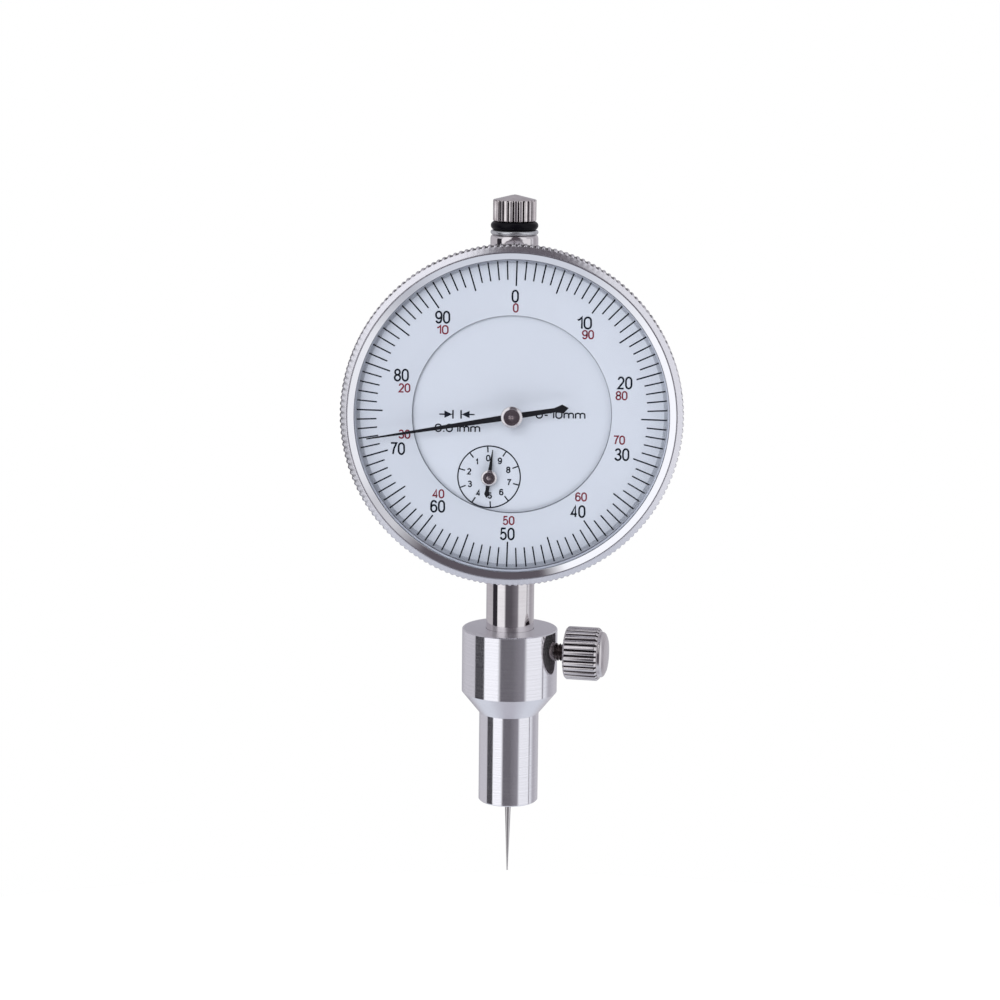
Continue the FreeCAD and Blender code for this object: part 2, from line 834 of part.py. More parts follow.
keep(
    on_dial_axis(
        turned(
            "take_up_arbor",
            [
                ("0", "-8.4"),
                ("0.35", "-8.4"),
                ("0.35", "-7.2"),
                ("0.7", "-7.2"),
                ("0.7", "-4.3"),
                ("0.35", "-4.3"),
                ("0.35", "-2.85"),
                ("0", "-2.85"),
            ],
            "XY_Plane",
        ),
        "takeup_x",
        "takeup_z",
    )
)
keep(
    on_dial_axis(
        turned(
            "hairspring_collet",
            [("0.7", "-7.0"), ("1.2", "-7.0"), ("1.2", "-6.3"), ("0.7", "-6.3")],
            "XY_Plane",
        ),
        "takeup_x",
        "takeup_z",
    )
)

STUD_ANGLE = math.radians(40)
STUD_R = 5.2
STUD_THICK = 0.5


def hairspring_strip():
    """A flat spiral strip, from the collet out to the stud."""
    turns = 5
    inner = 1.2
    outer = STUD_R - STUD_THICK
    half = 0.04
    steps = turns * 24
    edges = ([], [])
    for step in range(steps + 1):
        share = step / steps
        angle = STUD_ANGLE + 2 * math.pi * turns * (share - 1)
        for edge, shift in zip(edges, (-half, half)):
            radius = inner + (outer - inner) * share + shift
            edge.append(FreeCAD.Vector(radius * math.cos(angle), -6.85, radius * math.sin(angle)))
    curves = []
    for edge in edges:
        curve = Part.BSplineCurve()
        curve.interpolate(edge)
        curves.append(curve.toShape())
    ends = [Part.makeLine(edges[0][at], edges[1][at]) for at in (0, -1)]
    wire = Part.Wire(Part.__sortEdges__([curves[0], ends[1], curves[1], ends[0]]))
    return Part.Face(wire).extrude(FreeCAD.Vector(0, 0.4, 0))


keep(on_dial_axis(shaped("hairspring", hairspring_strip()), "takeup_x", "takeup_z"))
stud_x = "takeup_x + %.4f" % ((STUD_R + 0.05) * math.cos(STUD_ANGLE))
stud_z = "dial_z + takeup_z + %.4f" % ((STUD_R + 0.05) * math.sin(STUD_ANGLE))
keep(rod("hairspring_stud", STUD_THICK, 1.0, (stud_x, "plate_back", stud_z)))

# ---- plates and bearings that hold the train ----

bridge_blank = plate(
    "bridge_blank",
    [
        ("-11.8", "3.8"),
        ("-10.6", "6.8"),
        ("20.8", "8.0"),
        ("22.4", "5.6"),
        ("12.4", "-19.5"),
        ("9.4", "-20.2"),
    ],
    "-4",
    "1.2",
)
bridge_holes = [rod("bridge_hole_%d" % number, 0.5, 3, (x, -5, z)) for number, (x, z) in enumerate(PILLARS)]
bridge_holes += [
    rod("bridge_bearing_hole_%d" % number, 0.9, 3, (x, -5, z))
    for number, (x, z) in enumerate(((0, 0), ("takeup_x", "takeup_z")))
]
keep(on_dial_axis(cut("bridge_plate", bridge_blank, bridge_holes)))

cock_blank = plate(
    "cock_blank",
    [
        ("-16.4", "-5.6"),
        ("-15.0", "-3.7"),
        ("-2.6", "-8.2"),
        ("-1.9", "-11.0"),
        ("-8.6", "-22.0"),
        ("-11.0", "-21.2"),
    ],
    "2.6",
    "1",
)
cock_holes = [rod("cock_hole_%d" % number, 0.5, 3, (x, 2, z)) for number, (x, z) in enumerate(COCK_PILLARS)]
cock_holes.append(rod("cock_bearing_hole", 0.9, 3, ("rack_arbor_x", 2, "rack_arbor_z")))
keep(on_dial_axis(cut("pinion_cock", cock_blank, cock_holes)))


def pillars(label, spots, length, thread):
    """Round pillars on the front plate with a threaded hole in their back end."""
    group = []
    for number, (x, z) in enumerate(spots):
        post = rod("%s_post_%d" % (label, number), 1.2, length, (x, "plate_back", z))
        hole = rod("%s_thread_%d" % (label, number), 0.5, thread + 1, (x, "plate_back + %s" % (length - thread), z))
        group.append(cut("%s_%d" % (label, number), post, [hole]))
    return keep(on_dial_axis(together(label, group)))


pillars("bridge_pillars", PILLARS, 3.3, 2.6)
pillars("cock_pillars", COCK_PILLARS, 9.9, 2.6)
screws("bridge_screws", PILLARS, "-6.6", 3.8, 1.1, 0.7)
screws("cock_screws", COCK_PILLARS, "0", 3.6, 1.1, 0.7)


def bushes(label, items, front, length):
    """Round bearing bushes, each with its own outside and bore."""
    group = []
    for number, (outside, bore, (x, z)) in enumerate(items):
        post = rod("%s_ring_%d" % (label, number), outside, length, (x, front, z))
        hole = rod("%s_bore_%d" % (label, number), bore, 4, (x, "%s - 1" % front, z))
        group.append(cut("%s_%d" % (label, number), post, [hole]))
    whole = group[0] if len(group) == 1 else together(label, group)
    whole.Label = label
    return keep(on_dial_axis(whole))


bushes("front_bearings", FRONT_BUSHES, "case_front", 1.5)
bushes("bridge_bearings", ((0.9, 0.37, (0, 0)), (0.9, 0.37, TAKEUP)), "-4", 1.2)
bushes("cock_bearing", ((0.9, 0.42, RACK_ARBOR),), "2.6", 1)

# ---- holder sleeve and thumb screw ----

sleeve_blank = turned(
    "sleeve_blank",
    [
        ("0.9", "0"),
        ("nose_r - 0.2", "0"),
        ("nose_r", "0.2"),
        ("nose_r", "nose_high"),
        ("collar_r", "collar_low"),
        ("collar_r", "collar_high - 0.15"),
        ("collar_r - 0.15", "collar_high"),
        ("sleeve_bore_r", "collar_high"),
        ("sleeve_bore_r", "sleeve_bore_low"),
        ("nose_bore_r", "sleeve_bore_low"),
        ("nose_bore_r", "1.2"),
        ("0.9", "1.2"),
    ],
)
AWAY = FreeCAD.Vector(math.cos(math.radians(size("thumb_turn"))), math.sin(math.radians(size("thumb_turn"))), 0)
FACING_AWAY = FreeCAD.Rotation(FreeCAD.Vector(0, 0, 1), AWAY)
stud_hole = rod("sleeve_stud_hole", "stud_r + 0.03", 10, (0, 0, "thumb_z"), FACING_AWAY)
keep(cut("holder_sleeve", sleeve_blank, [stud_hole]))

stud = turned(
    "thumb_screw_stud",
    [
        ("0", "sleeve_bore_r"),
        ("stud_r - 0.3", "sleeve_bore_r"),
        ("stud_r", "sleeve_bore_r + 0.3"),
        ("stud_r", "14"),
        ("0", "14"),
    ],
)
keep(place(stud, (0, 0, "thumb_z"), FACING_AWAY))

thumb_blank = turned(
    "thumb_blank",
    [
        ("stud_r + 0.03", "thumb_low"),
        ("thumb_r - 0.35", "thumb_low"),
        ("thumb_r", "thumb_low + 0.3"),
        ("thumb_r", "thumb_step - 0.3"),
        ("thumb_r - 0.35", "thumb_step"),
        ("3.8", "thumb_step"),
        ("3.8", "thumb_high - 0.75"),
        ("2.6", "thumb_high"),
        ("0", "thumb_high"),
        ("0", "14.05"),
        ("stud_r + 0.03", "14.05"),
    ],
)
thumb_knurl = shaped(
    "thumb_knurl", ribbed_bar(size("thumb_ribs"), size("thumb_root_r"), size("thumb_r"), 1, 0, 8, 10, "Z")
)
keep(place(common("thumb_screw_head", thumb_blank, thumb_knurl), (0, 0, "thumb_z"), FACING_AWAY))

# ---- check and write ----

doc.recompute()
faulty = [thing.Label for thing in doc.Objects if {"Invalid", "Error"} & set(thing.State)]
faulty += [thing.Label for thing in nodes if thing.Shape.isNull() or not thing.Shape.isValid()]
if faulty:
    raise ValueError("faulty objects: " + ", ".join(sorted(set(faulty))))
os.makedirs("parts", exist_ok=True)
for thing in nodes:
    thing.Shape.exportStep("parts/%s.step" % thing.Label)
    print(thing.Label, len(thing.Shape.Solids), round(thing.Shape.Volume, 3))
print(len(nodes), "nodes")
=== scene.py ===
import math
import random

import bmesh
import bpy
from mathutils import Matrix, Vector


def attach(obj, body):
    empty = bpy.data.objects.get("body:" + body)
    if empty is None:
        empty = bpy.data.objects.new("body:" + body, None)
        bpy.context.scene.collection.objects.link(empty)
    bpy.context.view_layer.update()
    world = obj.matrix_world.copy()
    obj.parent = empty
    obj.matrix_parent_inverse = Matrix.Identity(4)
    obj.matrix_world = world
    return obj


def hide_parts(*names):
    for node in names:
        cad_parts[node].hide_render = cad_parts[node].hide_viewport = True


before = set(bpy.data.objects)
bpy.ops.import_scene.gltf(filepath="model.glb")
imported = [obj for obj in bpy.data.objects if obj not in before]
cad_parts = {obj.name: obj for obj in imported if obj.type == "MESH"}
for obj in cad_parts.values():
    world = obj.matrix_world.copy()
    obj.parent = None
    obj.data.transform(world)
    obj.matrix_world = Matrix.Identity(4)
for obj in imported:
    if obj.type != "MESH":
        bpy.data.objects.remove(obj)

MM = 0.001
RIGHT = Vector((1, 0, 0))
FORWARD = Vector((0, 1, 0))
UP = Vector((0, 0, 1))

# What things are turned round: a point in mm and a direction.
DIAL_CENTRE = Vector((0, 0, 67.4))
COUNTER_CENTRE = Vector((-3.6, 0, 57.0673))
SCREW_TURN = math.radians(11)
STEM_AXLE = (Vector((0, 0, 0)), UP)
DIAL_AXLE = (DIAL_CENTRE, FORWARD)
COUNTER_AXLE = (COUNTER_CENTRE, FORWARD)
SCREW_AXLE = (Vector((0, 0, 26.1)), Vector((math.cos(SCREW_TURN), -math.sin(SCREW_TURN), 0)))

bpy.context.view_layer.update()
random.seed(7)


# ---- node helpers ----

def add(tree, kind, inputs=None, **settings):
    """A new node, with its settings and with its inputs set to values or linked to sockets."""
    made = tree.nodes.new(kind)
    for key, value in settings.items():
        setattr(made, key, value)
    for key, value in (inputs or {}).items():
        if isinstance(value, bpy.types.NodeSocket):
            tree.links.new(value, made.inputs[key])
        else:
            made.inputs[key].default_value = value
    return made


def calc(tree, operation, first, second=0.0, third=0.0):
    """One Math node's result."""
    inputs = {0: first, 1: second, 2: third}
    return add(tree, "ShaderNodeMath", inputs, operation=operation).outputs[0]


def swing(tree, value, gain, middle):
    """The middle, plus gain times how far a value is from a half."""
    return calc(tree, "MULTIPLY_ADD", calc(tree, "SUBTRACT", value, 0.5), gain, middle)


def blend(tree, share, first, second):
    """Two values added, the first by its share and the second by the rest."""
    return calc(tree, "MULTIPLY_ADD", first, share, calc(tree, "MULTIPLY", second, 1 - share))


def remap(tree, value, low, high, to_low=0.0, to_high=1.0):
    """A value taken from one range to another and held at its ends."""
    inputs = {"Value": value, "From Min": low, "From Max": high,
              "To Min": to_low, "To Max": to_high}
    return add(tree, "ShaderNodeMapRange", inputs).outputs[0]


def vectors(tree, operation, first, second=(0, 0, 0)):
    """One Vector Math node."""
    return add(tree, "ShaderNodeVectorMath", {0: first, 1: second}, operation=operation)


def noise(tree, here, per_mm, detail):
    """Noise of a place in mm, with so many patches to the millimetre."""
    inputs = {"Vector": here, "Scale": per_mm, "Detail": detail}
    return add(tree, "ShaderNodeTexNoise", inputs).outputs[0]


def relief(tree, height, depth, strength=1.0):
    """A normal from heights of 0 to 1 that stand for so many mm."""
    inputs = {"Strength": strength, "Distance": depth * MM, "Height": height}
    return add(tree, "ShaderNodeBump", inputs).outputs[0]


def mix_colour(tree, factor, first, second):
    """Two colours mixed; each is (r, g, b) or a socket."""
    made = add(tree, "ShaderNodeMix", data_type="RGBA")
    for key, value in (("Factor", factor), ("A", first), ("B", second)):
        socket = [s for s in made.inputs if s.name == key and s.enabled][0]
        if isinstance(value, bpy.types.NodeSocket):
            tree.links.new(value, socket)
        else:
            socket.default_value = value if key == "Factor" else (*value, 1)
    return [s for s in made.outputs if s.enabled][0]


def ramp(tree, factor, stops):
    """A colour ramp; stops are (place, (r, g, b))."""
    made = add(tree, "ShaderNodeValToRGB", {"Fac": factor})
    band = made.color_ramp
    while len(band.elements) > 1:
        band.elements.remove(band.elements[-1])
    for number, (place, colour) in enumerate(stops):
        stop = band.elements[0] if number == 0 else band.elements.new(place)
        stop.position = place
        stop.color = (*colour, 1)
    return made.outputs["Color"]


def new_material(name):
    """An empty node material, its tree and its output node."""
    made = bpy.data.materials.new(name)
    made.use_nodes = True
    made.node_tree.nodes.clear()
    output = made.node_tree.nodes.new("ShaderNodeOutputMaterial")
    return made, made.node_tree, output


def place_in_mm(tree):
    """Where a point is on its piece, in mm."""
    here = add(tree, "ShaderNodeTexCoord").outputs["Object"]
    scaled = add(tree, "ShaderNodeVectorMath", {0: here, "Scale": 1 / MM}, operation="SCALE")
    return scaled.outputs[0]


def lathe_run(tree, origin, axis):
    """A length that runs along a turned surface, so that noise of it gives rings."""
    away = vectors(tree, "SUBTRACT", place_in_mm(tree), tuple(origin)).outputs[0]
    along = vectors(tree, "DOT_PRODUCT", away, tuple(axis)).outputs["Value"]
    crossed = vectors(tree, "CROSS_PRODUCT", away, tuple(axis)).outputs[0]
    radial = vectors(tree, "LENGTH", crossed).outputs["Value"]
    radial_share = 1.37     # not 1, or a 45 degree cone could come out without rings
    return calc(tree, "MULTIPLY_ADD", radial, radial_share, along)


# ---- materials ----

METAL_CLOUDS_PER_MM = 0.45
METAL_GRAINS_PER_MM = 9.0
PAINT_CLOUDS_PER_MM = 0.12
WINDOW_RIPPLES_PER_MM = 0.15
SQUARE_TO_AXIS = (0.85, 0.95)       # the cosines between which a face counts as a flat end
STREAK_RANGE = (0.38, 0.62)         # the noise between which bright rings turn matt
STRAIGHT_ON_GLOSS = 0.04            # how much clear plastic reflects when seen straight on


def metal(name, colour, worn, rough, axle=STEM_AXLE, pitch=0.25, lines=0.25, cut=0.004,
          spots=0.0, scatter=0.0, ends=None):
    """A turned or plated metal: rings from the lathe, soft clouding and fine grain.
    colour and worn are the two ends of its tint, pitch is the rings' spacing in mm, lines how
    strongly they tint it, cut how deep they are in mm, spots how much it is clouded, scatter how
    matt its rings are, and ends the roughness of the faces square to its axis."""
    made, tree, output = new_material(name)
    origin, axis = axle
    rings = add(tree, "ShaderNodeTexNoise",
                {"W": lathe_run(tree, origin, axis), "Scale": 1 / pitch, "Detail": 3.0,
                 "Roughness": 0.7}, noise_dimensions="1D").outputs[0]
    here = place_in_mm(tree)
    cloud = noise(tree, here, METAL_CLOUDS_PER_MM, 4.0)
    grain = noise(tree, here, METAL_GRAINS_PER_MM, 2.0)
    tint = swing(tree, cloud, spots * 4, swing(tree, rings, lines * 4, 0.5))
    tint = add(tree, "ShaderNodeClamp", {"Value": tint}).outputs[0]
    uneven = swing(tree, grain, rough * 0.35, swing(tree, rings, rough * 0.8, rough))
    if ends:
        facing = add(tree, "ShaderNodeTexCoord").outputs["Normal"]
        square = vectors(tree, "DOT_PRODUCT", facing, tuple(axis)).outputs["Value"]
        flat = remap(tree, calc(tree, "ABSOLUTE", square), *SQUARE_TO_AXIS)
        uneven = calc(tree, "MULTIPLY_ADD", flat, ends - rough, uneven)
    streak = blend(tree, 0.35, grain, rings)
    shader = add(tree, "ShaderNodeBsdfPrincipled", {
        "Base Color": mix_colour(tree, tint, colour, worn),
        "Metallic": remap(tree, streak, *STREAK_RANGE, 1.0, 1.0 - 2 * scatter),
        "Roughness": uneven,
        "Normal": relief(tree, rings, cut),
    })
    tree.links.new(shader.outputs[0], output.inputs[0])
    return made


def paint(name, colour, shade, rough, grain_mm=0.12, grain_depth=0.002, gloss=0.5):
    """A painted, printed or moulded surface, with fine grain and a little clouding."""
    made, tree, output = new_material(name)
    here = place_in_mm(tree)
    grain = noise(tree, here, 1 / grain_mm, 3.0)
    cloud = noise(tree, here, PAINT_CLOUDS_PER_MM, 2.0)
    shader = add(tree, "ShaderNodeBsdfPrincipled", {
        "Base Color": mix_colour(tree, blend(tree, 0.4, grain, cloud), colour, shade),
        "Roughness": swing(tree, grain, rough * 0.4, rough),
        "Normal": relief(tree, grain, grain_depth, 0.6),
        "Specular IOR Level": gloss,
    })
    tree.links.new(shader.outputs[0], output.inputs[0])
    return made


def clear(name, tint, gloss_colour):
    """Clear plastic: it shows what is behind it, and reflects more at a glancing angle."""
    made, tree, output = new_material(name)
    ripple = noise(tree, place_in_mm(tree), WINDOW_RIPPLES_PER_MM, 1.0)
    bump = relief(tree, ripple, 0.004, 0.2)
    through = add(tree, "ShaderNodeBsdfTransparent", {"Color": (*tint, 1)}).outputs[0]
    gloss = add(tree, "ShaderNodeBsdfGlossy",
                {"Color": (*gloss_colour, 1), "Roughness": 0.02, "Normal": bump}).outputs[0]
    facing = add(tree, "ShaderNodeLayerWeight", {"Blend": 0.5, "Normal": bump}).outputs["Facing"]
    share = calc(tree, "MULTIPLY_ADD", calc(tree, "POWER", facing, 5.0),
                 1 - STRAIGHT_ON_GLOSS, STRAIGHT_ON_GLOSS)
    surface = add(tree, "ShaderNodeMixShader", {0: share, 1: through, 2: gloss}).outputs[0]
    tree.links.new(surface, output.inputs[0])
    return made


BEZEL_POLISH = metal("bezel_polish", (0.92, 0.92, 0.94), (0.86, 0.86, 0.89), 0.06, DIAL_AXLE,
                     pitch=0.06, lines=0.3, cut=0.0003)
BEZEL_SATIN = metal("bezel_satin", (0.84, 0.83, 0.87), (0.72, 0.71, 0.75), 0.19, DIAL_AXLE,
                    pitch=0.10, lines=0.35, cut=0.002, scatter=0.02)
BEZEL_KNURL = metal("bezel_knurl", (0.86, 0.84, 0.87), (0.66, 0.63, 0.66), 0.20, DIAL_AXLE,
                    pitch=0.3, lines=0.2, cut=0.002, spots=0.3, scatter=0.05)
# Painted shade: a near-black metal for groove floors and the thumb screw's back face, standing in
# for the shadow in these recesses.
GROOVE_PAINTED_SHADE = metal("groove_painted_shade", (0.085, 0.070, 0.078), (0.030, 0.024, 0.028), 0.36,
                    pitch=0.3, spots=0.4)
ALUMINIUM = metal("turned_aluminium", (0.94, 0.93, 0.96), (0.76, 0.75, 0.79), 0.085,
                  pitch=0.17, lines=0.35, cut=0.0014, scatter=0.05, ends=0.36)
NICKEL = metal("plated_nickel", (0.82, 0.79, 0.79), (0.68, 0.64, 0.65), 0.07,
               pitch=0.35, lines=0.22, cut=0.0012, spots=0.25)
CAP_NICKEL = metal("plated_nickel_cap", (0.92, 0.87, 0.86), (0.58, 0.52, 0.52), 0.12,
                   pitch=0.35, lines=0.22, cut=0.0012, spots=0.5)
THUMB_NICKEL = metal("plated_nickel_thumb", (0.78, 0.75, 0.75), (0.64, 0.60, 0.61), 0.12,
                     SCREW_AXLE, pitch=0.3, lines=0.25, cut=0.0015, spots=0.25)
STUD_STEEL = metal("stud_steel", (0.34, 0.29, 0.29), (0.16, 0.13, 0.13), 0.28, SCREW_AXLE,
                   pitch=0.2, spots=0.3)
CASE_METAL = metal("case_plate", (0.72, 0.71, 0.73), (0.62, 0.61, 0.63), 0.26, DIAL_AXLE,
                   pitch=0.4, lines=0.15, cut=0.002, spots=0.15)
ZINC = metal("zinc_washer", (0.72, 0.73, 0.74), (0.50, 0.51, 0.53), 0.24,
             pitch=0.2, lines=0.25, cut=0.003, spots=0.3, scatter=0.1)
STEEL = metal("ground_steel", (0.70, 0.68, 0.67), (0.55, 0.53, 0.53), 0.14,
              pitch=0.12, lines=0.3, cut=0.0015, spots=0.15)
BRASS = metal("brass", (0.80, 0.62, 0.33), (0.66, 0.49, 0.24), 0.20, DIAL_AXLE,
              pitch=0.2, lines=0.3, cut=0.002, spots=0.2)
BRONZE = metal("bronze", (0.62, 0.42, 0.27), (0.48, 0.31, 0.19), 0.28,
               pitch=0.2, lines=0.3, cut=0.003, spots=0.25)
HUB_BRIGHT = metal("hub_bright", (0.92, 0.88, 0.87), (0.80, 0.75, 0.74), 0.12, DIAL_AXLE,
                   pitch=0.05, lines=0.3, cut=0.0008)
# Painted shade: a darker, browner copy of the hub metal, for the dished ends that mirror the dark
# side of the room.
HUB_DISH_SHADE = metal("hub_dish_painted_shade", (0.66, 0.56, 0.56), (0.36, 0.28, 0.29), 0.20, DIAL_AXLE,
                 pitch=0.14, lines=0.6, cut=0.007, spots=0.4)

RUBBER = paint("black_rubber", (0.002, 0.0018, 0.0035), (0.004, 0.0035, 0.006), 0.30,
               grain_mm=0.08, grain_depth=0.004, gloss=0.12)
POINTER_BLACK = paint("pointer_black", (0.006, 0.007, 0.009), (0.011, 0.011, 0.014), 0.42,
                      grain_mm=0.10, grain_depth=0.001, gloss=0.2)
DIAL_WHITE = paint("dial_white", (0.688, 0.730, 0.798), (0.666, 0.708, 0.778), 0.46,
                   grain_mm=0.10, grain_depth=0.0006)
# Painted shade: a dark grey for the outer dial's inner edge, standing in for the thin shadow of
# its step.
DIAL_EDGE_SHADE = paint("dial_edge_painted_shade", (0.20, 0.22, 0.25), (0.15, 0.165, 0.19), 0.50,
                  grain_mm=0.2, grain_depth=0.001, gloss=0.2)
INK_BLACK = paint("ink_black", (0.006, 0.009, 0.016), (0.010, 0.014, 0.024), 0.55,
                  grain_mm=0.05, grain_depth=0.0004, gloss=0.1)
INK_RED = paint("ink_red", (0.190, 0.020, 0.036), (0.225, 0.026, 0.046), 0.55,
                grain_mm=0.05, grain_depth=0.0004, gloss=0.1)
# Painted reflection: a pale bluish paint for the window's rim, standing in for the pale light it
# shows at the bezel's inner edge.
WINDOW_EDGE_REFLECTION = paint("window_edge_painted_reflection", (0.60, 0.63, 0.70), (0.52, 0.55, 0.62), 0.40,
                    grain_mm=0.2, grain_depth=0.001, gloss=0.3)

WINDOW = clear("clear_window", (0.985, 0.988, 0.995), (0.5, 0.5, 0.5))
SEAT_CLEAR = clear("seat_clear", (0.95, 0.952, 0.96), (0.75, 0.76, 0.80))


# ---- mesh helpers ----

def finish_piece(name, bm, body, materials, crease=40, replaces=()):
    """Makes the object of a bmesh in mm, smooth up to the crease angle, and rides it on a body."""
    bmesh.ops.recalc_face_normals(bm, faces=bm.faces)
    bmesh.ops.scale(bm, vec=(MM, MM, MM), verts=bm.verts)
    mesh = bpy.data.meshes.new(name)
    bm.to_mesh(mesh)
    bm.free()
    for one in materials:
        mesh.materials.append(one)
    mesh.shade_smooth()
    mesh.set_sharp_from_angle(angle=math.radians(crease))
    piece = bpy.data.objects.new(name, mesh)
    bpy.context.scene.collection.objects.link(piece)
    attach(piece, body)
    if replaces:
        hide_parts(*replaces)


def finish_print(name, bm, body, ink):
    """Makes a printed piece, whose strokes are sharp along their sides."""
    finish_piece(name, bm, body, [ink], crease=32)


def profile(points):
    """Points of an outline as (radius, along, groove depth, material number); the last two may be
    left out for 0."""
    return [tuple(point) + (0, 0)[len(point) - 2:] for point in points]


def eased(points, radius, closed=False, steps=4):
    """An outline with its corners rounded."""
    most_of_side = 0.4
    nearly_straight = math.radians(172)
    too_small = 1e-4
    count = len(points)
    made = []
    for number, point in enumerate(points):
        if not closed and number in (0, count - 1):
            made.append(point)
            continue
        before, after = points[number - 1], points[(number + 1) % count]
        here = Vector(point[:2])
        back, on = Vector(before[:2]) - here, Vector(after[:2]) - here
        ease = min(radius, back.length * most_of_side, on.length * most_of_side)
        if back.angle(on, math.pi) > nearly_straight or ease < too_small:
            made.append(point)
            continue
        start, end = here + back.normalized() * ease, here + on.normalized() * ease
        for step in range(steps + 1):
            t = step / steps
            spot = start * (1 - t) ** 2 + here * 2 * t * (1 - t) + end * t ** 2
            made.append((spot.x, spot.y, point[2], point[3]))
    return made


def spun(points, axle, steps, closed=False, wave=None, groove=0):
    """A bmesh turned round an axle from an outline, in so many steps. wave(angle) says how deep a
    groove is, from 0 to 1, and groove is the material number of the grooves' floors, where the
    callers put a painted shade."""
    on_axis = 1e-6
    floor_waves = 0.9       # two neighbours that are this deep together hold a groove's floor
    origin, axis = axle
    bm = bmesh.new()
    across = RIGHT if abs(axis.dot(RIGHT)) < 0.5 else FORWARD
    across = (across - axis * across.dot(axis)).normalized()
    third = axis.cross(across)
    waves = [wave(2 * math.pi * turn / steps) if wave else 0.0 for turn in range(steps)]
    rows = []
    for radius, along, depth, _ in points:
        if radius < on_axis:
            rows.append([bm.verts.new(origin + axis * along)])
            continue
        row = []
        for turn in range(steps):
            angle = 2 * math.pi * turn / steps
            outward = across * math.cos(angle) + third * math.sin(angle)
            reach = radius - depth * waves[turn]
            row.append(bm.verts.new(origin + axis * along + outward * reach))
        rows.append(row)
    pairs = list(zip(range(len(rows)), range(1, len(rows))))
    if closed:
        pairs.append((len(rows) - 1, 0))
    for first, second in pairs:
        a, b = rows[first], rows[second]
        if len(a) == 1 and len(b) == 1:
            continue
        for turn in range(steps):
            following = (turn + 1) % steps
            if len(a) == 1:
                corners = (a[0], b[turn], b[following])
            elif len(b) == 1:
                corners = (a[turn], b[0], a[following])
            else:
                corners = (a[turn], b[turn], b[following], a[following])
            face = bm.faces.new(corners)
            cut = points[first][2] and points[second][2]
            sunk = cut and waves[turn] + waves[following] > floor_waves
            face.material_index = groove if sunk else points[first][3]
    return bm


def knurl(teeth, flat, uneven):
    """A wave with so many teeth to a turn: flat crests, and grooves with steep sides between them.
    flat is the crests' share, and uneven how much shallower a groove may be than the deepest."""
    steepness = 2.2
    depths = [1 - uneven * random.random() for _ in range(teeth)]

    def wave(angle):
        place = angle / (2 * math.pi) * teeth
        away = abs(place % 1 - 0.5) * 2
        rise = min(1.0, max(0.0, (1 - flat - away) * steepness))
        return rise * depths[int(place) % teeth]

    return wave


def threaded(axle, start, end, radius, depth, pitch, steps=40, parts=8):
    """A bmesh of a threaded rod with flat ends; parts is how many rows make up one pitch."""
    origin, axis = axle
    across = axis.cross(UP).normalized()
    third = axis.cross(across)
    count = round((end - start) / pitch * parts)
    bm = bmesh.new()
    rows = []
    for number in range(count + 1):
        along = start + (end - start) * number / count
        fade = min(1.0, (along - start) / pitch, (end - along) / pitch)
        row = []
        for turn in range(steps):
            angle = 2 * math.pi * turn / steps
            part = (along / pitch - turn / steps) % 1
            reach = radius - depth * (abs(part - 0.5) * 2 * fade + 1 - fade)
            outward = across * math.cos(angle) + third * math.sin(angle)
            row.append(bm.verts.new(origin + axis * along + outward * reach))
        rows.append(row)
    for a, b in zip(rows, rows[1:]):
        for turn in range(steps):
            following = (turn + 1) % steps
            bm.faces.new((a[turn], b[turn], b[following], a[following]))
    bm.faces.new(rows[0])
    bm.faces.new(rows[-1])
    return bm


def flat_shape(bm, corners, front, back):
    """Adds a thin plate: corners are (x, z) round its outline, between two planes of y."""
    near = [bm.verts.new((x, front, z)) for x, z in corners]
    far = [bm.verts.new((x, back, z)) for x, z in corners]
    bm.faces.new(near)
    bm.faces.new(far[::-1])
    for number in range(len(corners)):
        following = (number + 1) % len(corners)
        bm.faces.new((near[number], far[number], far[following], near[following]))


def bar(bm, centre, angle, inner, outer, width, front, back):
    """Adds a tick that runs outward at a clock angle, in radians clockwise from the top."""
    out = Vector((math.sin(angle), math.cos(angle)))
    across = Vector((out.y, -out.x)) * width / 2
    corners = [out * inner - across, out * outer - across,
               out * outer + across, out * inner + across]
    flat_shape(bm, [(centre.x + c.x, centre.z + c.y) for c in corners], front, back)


# ---- lettering ----

def arc(x, z, wide, tall, start, end, steps=10):
    """Points round an ellipse, from one clock angle to another in degrees."""
    turns = [math.radians(start + (end - start) * number / steps) for number in range(steps + 1)]
    return [(x + wide * math.sin(turn), z + tall * math.cos(turn)) for turn in turns]


